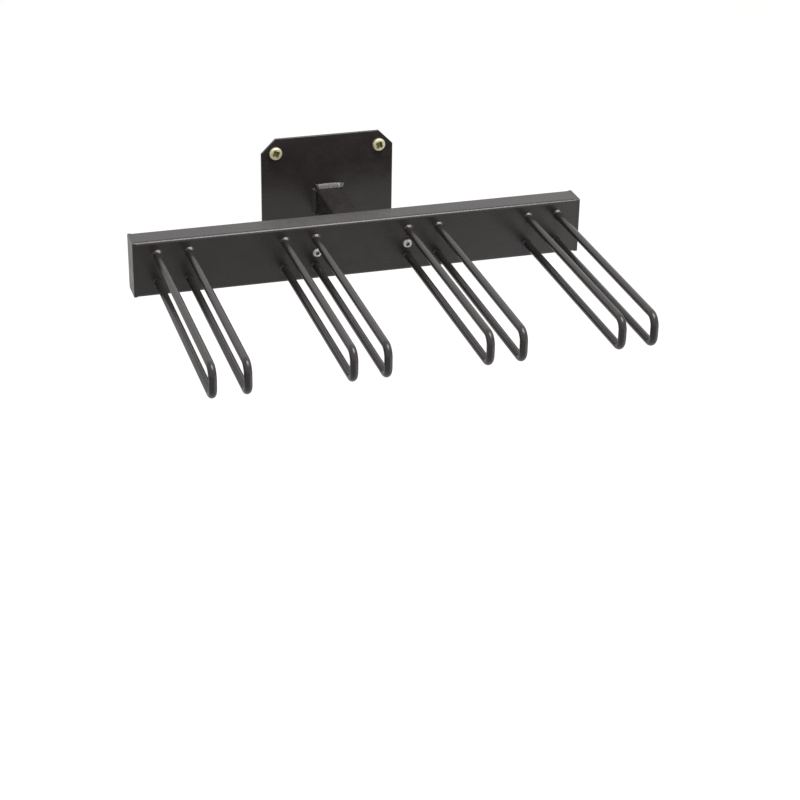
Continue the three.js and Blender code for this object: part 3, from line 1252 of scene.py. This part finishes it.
@dataclass
class RodLoop(SubAssembly):
    """One bent rod loop and the welds at its two roots.

    Attributes:
        number: Which loop it is, from the left.
        bend_radius: Radius of each bend, at the rod's middle.
        sides: Sides of the rod.
        bend_steps: Steps in each bend.
        upper_weld: The weld at the upper root, heavier on the right.
        lower_weld: The weld at the lower root, heavier below.
    """

    number: int
    bend_radius: float = 9 * MM
    sides: int = 40
    bend_steps: int = 16
    upper_weld: Bead = Bead(foot=1.9 * MM, climb=2.05 * MM, ripple_pitch=1.6 * MM,
                            ripple_height=0.01 * MM, unevenness=0.06 * MM, bulge=0.0,
                            lean=0.35, lean_angle=math.radians(-10), dabs=4, dab_share=0.1)
    lower_weld: Bead = Bead(foot=1.25 * MM, climb=1.25 * MM, ripple_pitch=1.6 * MM,
                            ripple_height=0.04 * MM, unevenness=0.1 * MM, bulge=-0.05,
                            lean=1.0, lean_angle=math.radians(-110))

    def build(self) -> None:
        """Makes the rod and its two welds."""
        node = f"rod_loop_{self.number}"
        extent = Extent.of(node)
        radius = extent.size.x / 2
        self.add(node, self.rod(extent, radius), extent.axis)
        for level, weld in zip(LEVELS, (self.upper_weld, self.lower_weld)):
            root = f"rod_weld_{self.number}_{level}"
            seat = Extent.of(root)
            seed = seat.centre.x / MM + seat.centre.y
            self.add(root, weld.build(Outline(0.0, 0.0, radius), seed), seat.foot)

    def rod(self, extent: Extent, radius: float) -> BMesh:
        """Bends one rod: out along the upper leg, down, and back along the lower leg.

        Args:
            extent: Box of the loop.
            radius: Radius of the rod.

        Returns:
            A closed mesh.
        """
        leg = extent.size.y / 2 - radius
        straight = extent.size.z - radius - self.bend_radius
        drop = Vector((0, 2 * (self.bend_radius - leg), 0))
        bm = bmesh.new()
        end = [disc(bm, radius, self.sides, Matrix.Translation((0, leg, extent.low.z)))]
        end = push(bm, end, Vector((0, 0, straight)))
        corner = Vector((0, leg - self.bend_radius, extent.low.z + straight))
        end = self.turn(bm, end[0], corner)
        end = push(bm, end, drop)
        end = self.turn(bm, end[0], corner + drop)
        push(bm, end, Vector((0, 0, -straight)))
        return bm

    def turn(self, bm: BMesh, end: BMFace, centre: Vector) -> list[BMFace]:
        """Spins the rod's end through a quarter turn.

        Args:
            bm: The rod's mesh.
            end: Its end face.
            centre: Centre of the bend.

        Returns:
            The new end face, in a list.
        """
        grown = bmesh.ops.spin(bm, geom=[end, *end.edges, *end.verts], cent=centre,
                               axis=(1, 0, 0), angle=QUARTER_TURN, steps=self.bend_steps,
                               use_duplicate=False)["geom_last"]
        return [item for item in grown if isinstance(item, BMFace)]


@dataclass(frozen=True)
class Thread:
    """Ridge that winds round a screw's core.

    Attributes:
        pitch: Distance from one turn to the next.
        core: Radius of the core.
        crest: Radius of the ridge's top.
        base_share: Width of the ridge at the core, as a share of the pitch.
        sides: Sides of the ridge's section.
        steps: Steps in each turn.
        sink: How far the ridge is sunk into the core.
    """

    pitch: float
    core: float
    crest: float
    base_share: float = 0.7
    sides: int = 3
    steps: int = 24
    sink: float = 0.15 * MM

    def wind(self, low: float, high: float, point: float = 0.0) -> BMesh:
        """Winds the ridge about the Z axis.

        Args:
            low: Height where it starts.
            high: Height where it ends.
            point: Length over which core and ridge come to a point at the lower end.

        Returns:
            A closed mesh.
        """
        bm = bmesh.new()
        half = self.base_share * self.pitch / 2
        turns = (high - low - 2 * half) / self.pitch
        place = Matrix(((0, 1, 0, self.core), (0, 0, 1, 0), (1, 0, 0, low + half), (0, 0, 0, 1)))
        face = disc(bm, half, self.sides, place)
        steps = round(turns * self.steps)
        bmesh.ops.spin(bm, geom=[face, *face.edges, *face.verts], cent=(0, 0, 0), axis=(0, 0, 1),
                       dvec=(0, 0, turns * self.pitch / steps), angle=turns * FULL_TURN,
                       steps=steps, use_duplicate=False)
        for vert in bm.verts:
            radius = vert.co.xy.length
            share = min(1.0, (vert.co.z - low + half) / point) if point else 1.0
            fade = min(1.0, (high - vert.co.z) / self.pitch)
            top = (self.core + (self.crest - self.core) * fade) * share
            target = top if radius > self.core + half / 2 else self.core * share - self.sink
            scale = max(target, self.sink) / radius
            vert.co.x *= scale
            vert.co.y *= scale
        return bm


@dataclass
class WallScrew(SubAssembly):
    """One cross-recess wood screw through the wall plate.

    Attributes:
        number: Which screw it is.
        angle: Angle at which it was left.
        rim: Height of the head's upright edge.
        edge: Rounding of that edge.
        crown: Radius of the head's flat crown.
        neck: Radius of the smooth neck.
        neck_length: Length of the neck behind the plate's face.
        point: Length of the point.
        thread: The thread.
        wing_span: Length of the recess's wings at the top.
        wing_width: Width of the wings.
        wing_depth: Depth of the wings.
        wing_taper: Size of a wing at its bottom, as a share of its size at the top.
        pocket: Radius of the recess's round middle.
        sides: Sides of the screw.
        pocket_sides: Sides of the recess's round middle.
    """

    number: int
    angle: float
    rim: float = 1.0 * MM
    edge: float = 0.3 * MM
    crown: float = 4.4 * MM
    neck: float = 2.5 * MM
    neck_length: float = 5 * MM
    point: float = 6 * MM
    thread: Thread = Thread(pitch=2.6 * MM, core=2.05 * MM, crest=3.0 * MM)
    wing_span: float = 7.6 * MM
    wing_width: float = 2.6 * MM
    wing_depth: float = 2.0 * MM
    wing_taper: float = 0.78
    pocket: float = 3.4 * MM
    sides: int = 64
    pocket_sides: int = 24

    def build(self) -> None:
        """Makes the screw."""
        node = f"wall_screw_{self.number}"
        extent = Extent.of(node)
        seat = Extent.of("wall_plate").high.z
        core = self.thread.core
        foot = seat - self.neck_length
        head = extent.size.x / 2
        above = extent.high.z + self.edge
        profile = [(0, extent.low.z), (core, extent.low.z + self.point), (core, foot - core),
                   (self.neck, foot), (self.neck, seat), (head - self.edge, seat),
                   (head, seat + self.edge),
                   *pan_top(head, self.crown, seat + self.rim, extent.high.z)]
        thread = self.thread.wind(extent.low.z, foot, self.point)
        bm = carve(spun(profile, self.sides), thread, "UNION")
        size = Vector((self.wing_span, self.wing_width, self.wing_depth + self.edge))
        for wing in (self.angle, self.angle + QUARTER_TURN):
            bm = carve(bm, tapered_block(size, above, self.wing_taper, wing))
        bottom = extent.high.z - self.wing_depth
        drill = spun([(0, bottom - self.edge), (self.pocket / 2, bottom), (self.pocket, above),
                      (0, above)], self.pocket_sides)
        self.add(node, carve(bm, drill), extent.axis, slot=Slot.YELLOW)


@dataclass
class BarFastener(SubAssembly):
    """One screw, washer and nut that hold the crossbar to the arm's flange.

    Attributes:
        side: Side of the arm that it is on.
        angle: Angle at which the screw was left.
        rim: Height of the head's upright edge.
        edge: Rounding of that edge.
        crown: Radius of the head's flat crown.
        shank: Radius of the shank.
        thread: The thread.
        thread_length: Length of the thread.
        socket_width: Width of the hexagonal socket across its flats.
        socket_depth: Depth of the socket.
        hole_gap: Gap between the shank and the washer or nut.
        stamped_share: Rounding of the washer's edges, as a share of its thickness.
        chamfer: Rise of the nut's chamfer at its corners.
        sides: Sides of each piece.
    """

    side: str
    angle: float
    rim: float = 0.6 * MM
    edge: float = 0.25 * MM
    crown: float = 2.3 * MM
    shank: float = 2.5 * MM
    thread: Thread = Thread(pitch=0.8 * MM, core=2.1 * MM, crest=2.5 * MM, base_share=0.9)
    thread_length: float = 14 * MM
    socket_width: float = 3.5 * MM
    socket_depth: float = 1.3 * MM
    hole_gap: float = 0.1 * MM
    stamped_share: float = 0.2
    chamfer: float = 0.5 * MM
    sides: int = 48

    def build(self) -> None:
        """Makes the three pieces."""
        self.screw()
        self.washer()
        self.nut()

    def screw(self) -> None:
        """Makes the button-head screw with its socket and thread."""
        node = f"bar_screw_{self.side}"
        extent = Extent.of(node)
        seat = Extent.of("crossbar_tube").high.z
        head = extent.size.x / 2
        core = self.thread.core
        tip = extent.low.z + self.edge
        bare = extent.low.z + self.thread_length
        profile = [(0, extent.low.z), (core - self.edge, extent.low.z), (core, tip), (core, bare),
                   (self.shank, bare + self.edge), (self.shank, seat), (head - self.edge, seat),
                   (head, seat + self.edge),
                   *pan_top(head, self.crown, seat + self.rim, extent.high.z)]
        bm = carve(spun(profile, self.sides), self.thread.wind(tip, bare), "UNION")
        bottom = Matrix.Translation((0, 0, extent.high.z - self.socket_depth))
        turn = Matrix.Rotation(self.angle, 4, "Z")
        socket = prisms([bottom @ turn], self.socket_width * HEX_CORNER, HEX_SIDES,
                        2 * self.socket_depth)
        self.add(node, carve(bm, socket), extent.axis, slot=Slot.BRIGHT)

    def washer(self) -> None:
        """Makes the washer, with the soft edge that stamping leaves."""
        node = f"bar_washer_{self.side}"
        extent = Extent.of(node)
        inner, outer, height = self.shank + self.hole_gap, extent.size.x / 2, extent.size.z
        bm = spun([(inner, 0), (outer, 0), (outer, height), (inner, height), (inner, 0)],
                  self.sides)
        soften(bm, height * self.stamped_share, 2)
        self.add(node, bm, extent.foot, slot=Slot.BRIGHT)

    def nut(self) -> None:
        """Makes the nut, chamfered at both ends outside and in its bore."""
        node = f"bar_nut_{self.side}"
        extent = Extent.of(node)
        corner, flat, height = extent.size.x / 2, extent.size.y / 2, extent.size.z
        barrel = spun([(0, 0), (flat, 0), (corner, self.chamfer), (corner + self.edge, height / 2),
                       (corner, height - self.chamfer), (flat, height), (0, height)], self.sides)
        turn = Matrix.Rotation(QUARTER_TURN, 4, "Z")
        stock = prisms([turn], extent.size.y * HEX_CORNER, HEX_SIDES, height)
        bm = carve(stock, barrel, "INTERSECT")
        inner = self.shank + self.hole_gap
        mouth = inner + 2 * self.edge
        bore = spun([(0, -self.edge), (mouth, -self.edge), (inner, self.edge),
                     (inner, height - self.edge), (mouth, height + self.edge),
                     (0, height + self.edge)], self.sides)
        self.add(node, carve(bm, bore), extent.foot, slot=Slot.BRIGHT)


# Studio

@dataclass(frozen=True)
class AreaLamp:
    """Soft square lamp that points at the rack.

    Attributes:
        name: Name of the lamp.
        towards: Direction from the rack to the lamp.
        distance: How far off it is.
        side: Length of its side.
        watts: Its power.
    """

    name: str
    towards: tuple[float, float, float]
    distance: float
    side: float
    watts: float

    def place(self) -> None:
        """Adds the lamp to the scene, aimed at the origin."""
        light = bpy.data.lights.new(self.name, "AREA")
        light.shape = "SQUARE"
        light.size = self.side
        light.energy = self.watts
        lamp = bpy.data.objects.new(self.name, light)
        way = Vector(self.towards).normalized()
        turn = way.to_track_quat("Z", "Y")
        lamp.matrix_world = Matrix.LocRotScale(way * self.distance, turn, None)
        bpy.context.scene.collection.objects.link(lamp)


@dataclass
class Studio:
    """Camera, lamps, world and floor.

    Attributes:
        image_pixels: Side of the square photograph.
        focal_pixels: Focal length in pixels.
        sensor: Width of the camera's sensor, in millimetres.
        azimuth: Angle of the view round the rack.
        elevation: Angle of the view above the horizon.
        roll: Tilt of the camera.
        target: Point in the middle of the image.
        distance: Distance from the camera to that point.
        near: Distance from which the camera sees.
        far: Distance up to which it sees.
        ambient: Strength of the light from all round.
        floor_height: Height of the floor.
        floor_reach: Half the length of its side.
        floor_colour: Colour of the floor.
        floor_roughness: Roughness of the floor.
        seen_lift: Light that the floor adds where the camera sees it, to look white.
        mirrored_lift: Light that it adds where it is seen in a reflection.
        lamps: The lamps.
    """

    image_pixels: float = 800
    focal_pixels: float = 2070.0
    sensor: float = 36.0
    azimuth: float = math.radians(-17.08)
    elevation: float = math.radians(27.31)
    roll: float = math.radians(0.98)
    target: tuple[float, float, float] = (0.0463, -0.103, -0.1760)
    distance: float = 2.0131
    near: float = 0.05
    far: float = 100
    ambient: float = 0.4
    floor_height: float = -1.3
    floor_reach: float = 20.0
    floor_colour: Colour = (0.80, 0.80, 0.79)
    floor_roughness: float = 0.9
    seen_lift: float = 0.62
    mirrored_lift: float = 0.20
    lamps: tuple[AreaLamp, ...] = (
        AreaLamp("key", (0.20, -0.32, 0.92), distance=2.2, side=1.25, watts=54.0),
        AreaLamp("fill", (0.72, -0.62, -0.32), distance=1.8, side=1.5, watts=7.0),
    )

    def build(self) -> None:
        """Sets everything up."""
        bpy.context.scene.view_settings.view_transform = "Standard"
        self.set_camera()
        self.set_world()
        self.lay_floor()
        for lamp in self.lamps:
            lamp.place()

    def set_camera(self) -> None:
        """Puts the camera where the photograph was taken from."""
        data = bpy.data.cameras.new("camera")
        data.sensor_width = self.sensor
        data.lens = self.focal_pixels * self.sensor / self.image_pixels
        data.clip_start = self.near
        data.clip_end = self.far
        camera = bpy.data.objects.new("camera", data)
        turn = (Matrix.Rotation(self.azimuth, 4, "Z")
                @ Matrix.Rotation(QUARTER_TURN - self.elevation, 4, "X")
                @ Matrix.Rotation(self.roll, 4, "Z"))
        back = Matrix.Translation((0, 0, self.distance))
        camera.matrix_world = Matrix.Translation(self.target) @ turn @ back
        bpy.context.scene.collection.objects.link(camera)
        bpy.context.scene.camera = camera

    def set_world(self) -> None:
        """Makes the world white to the eye and in reflections, and a plain light elsewhere."""
        world = bpy.data.worlds.new("studio")
        world.use_nodes = True
        bpy.context.scene.world = world
        sheet = Sheet(world.node_tree)
        path = sheet.node("ShaderNodeLightPath").outputs
        seen = sheet.math("MAXIMUM", path["Is Camera Ray"], path["Is Glossy Ray"])
        seen = sheet.math("MAXIMUM", seen, path["Is Transmission Ray"])
        strength = sheet.spread(seen, (0.0, 1.0), (self.ambient, 1.0))
        light = sheet.node("ShaderNodeBackground",
                           {"Color": (1.0, 1.0, 1.0, 1.0), "Strength": strength})
        sheet.node("ShaderNodeOutputWorld", {"Surface": light.outputs["Background"]})

    def lay_floor(self) -> None:
        """Lays a plain pale floor under the rack."""
        bm = bmesh.new()
        bmesh.ops.create_grid(bm, x_segments=1, y_segments=1, size=self.floor_reach,
                              matrix=Matrix.Translation((0, 0, self.floor_height)))
        floor = loose_object(bm, "floor")
        floor.data.materials.append(self.floor_finish())

    def floor_finish(self) -> Material:
        """Makes the floor's finish, which looks near white and still takes a shadow.

        Returns:
            The material.
        """
        material = bpy.data.materials.new("studio floor")
        sheet = Sheet.for_material(material)
        path = sheet.node("ShaderNodeLightPath").outputs
        mirrored = sheet.math("MAXIMUM", path["Is Glossy Ray"], path["Is Transmission Ray"])
        lift = sheet.math("MULTIPLY", mirrored, self.mirrored_lift)
        lift = sheet.math("MULTIPLY_ADD", path["Is Camera Ray"], self.seen_lift, lift)
        glow = sheet.blend(lift, (0.0, 0.0, 0.0), (1.0, 1.0, 1.0))
        sheet.cover({"Base Color": (*self.floor_colour, 1.0), "Roughness": self.floor_roughness,
                     "Emission Color": glow, "Emission Strength": 1.0})
        return material


def main() -> None:
    """Builds the rack and its studio, in order."""
    logging.basicConfig(level=logging.INFO, format="%(name)s: %(message)s")
    # Each plating's dark recess colour is painted shade for the recesses of the heads.
    yellow = ZincPlate("yellow zinc", tint=(0.57, 0.54, 0.36), tint_share=0.75,
                       recess_shade=(0.115, 0.100, 0.036))
    bright = ZincPlate("bright zinc", tint=(0.50, 0.51, 0.53), tint_share=0.85,
                       recess_shade=(0.12, 0.12, 0.12))
    finishes = {Slot.BLACK.value: PowderCoat().build(), Slot.YELLOW.value: yellow.build(),
                Slot.BRIGHT.value: bright.build()}
    assemblies: list[SubAssembly] = [WallBracket(), Crossbar()]
    assemblies += [RodLoop(number) for number in LOOPS]
    assemblies += [WallScrew(number, angle) for number, angle in enumerate(WALL_SCREW_TURNS, 1)]
    assemblies += [BarFastener(side, angle) for side, angle in zip(SIDES, BAR_SCREW_TURNS)]
    for assembly in assemblies:
        assembly.build()
        assembly.dress(finishes)
    Studio().build()


if __name__ == "__main__":
    main()
